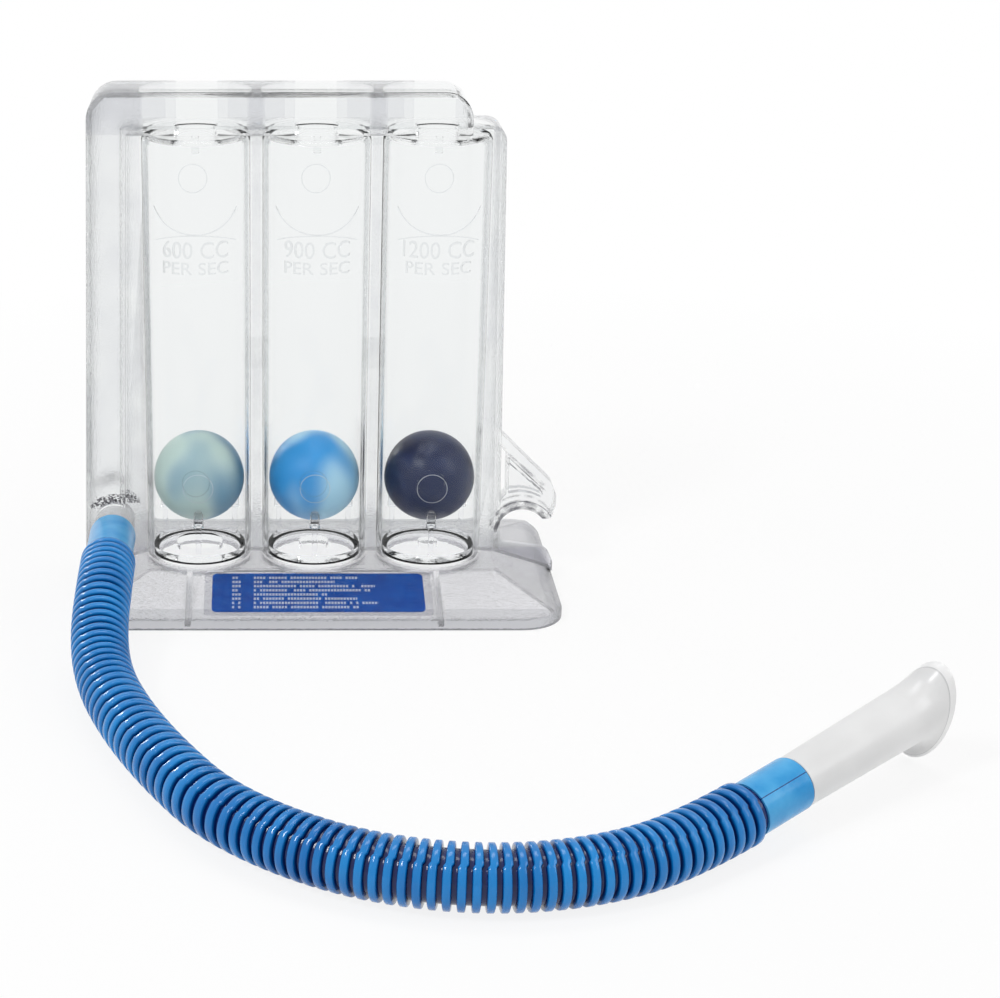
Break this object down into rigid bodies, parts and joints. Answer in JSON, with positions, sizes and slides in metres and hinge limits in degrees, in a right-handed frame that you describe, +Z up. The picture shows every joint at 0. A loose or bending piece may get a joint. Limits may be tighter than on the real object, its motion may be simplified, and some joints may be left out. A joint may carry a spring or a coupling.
{
  "type": "incentive spirometer",
  "caption": "Clear upright breathing exerciser with ball chambers in a row, an air duct over them, a corrugated hose lying round the front and a flared mouthpiece.",
  "frame": {"origin": "centre of the foot on the floor, at the parting plane of the two clear shells", "axes": "+X to the right as seen from the front, +Y to the rear, +Z up"},
  "size_m": [0.211, 0.2322, 0.14],
  "materials": {
    "clear_shell": "clear, glossy chambers with frosted flats",
    "clear_disc": "clear, glossy",
    "ball_grey": "satin",
    "ball_sky": "satin",
    "ball_navy": "satin",
    "label_blue": "printed, satin",
    "hose_blue": "glossy",
    "mouth_white": "translucent white, satin"
  },
  "bodies": {
    "body": {"front_shell": "clear_shell", "rear_shell": "clear_shell", "seat_disc_600": "clear_disc", "seat_disc_900": "clear_disc", "seat_disc_1200": "clear_disc", "label": "label_blue", "hose": "hose_blue", "hose_cuff_port": "hose_blue", "hose_cuff_mouth": "hose_blue"},
    "ball_left": {"ball_600": "ball_grey"},
    "ball_middle": {"ball_900": "ball_sky"},
    "ball_right": {"ball_1200": "ball_navy"},
    "mouthpiece": {"mouthpiece": "mouth_white"}
  },
  "joints": [
    {"name": "ball_600_rise", "type": "slide", "parent": "body", "child": "ball_left", "axis": [0, 0, 1], "range_m": [0, 0.0806]},
    {"name": "ball_900_rise", "type": "slide", "parent": "body", "child": "ball_middle", "axis": [0, 0, 1], "range_m": [0, 0.0806]},
    {"name": "ball_1200_rise", "type": "slide", "parent": "body", "child": "ball_right", "axis": [0, 0, 1], "range_m": [0, 0.0806]},
    {"name": "mouthpiece_pull", "type": "slide", "parent": "body", "child": "mouthpiece", "axis": [0.7834, 0.6077, 0.1305], "range_m": [0, 0.015]}
  ]
}
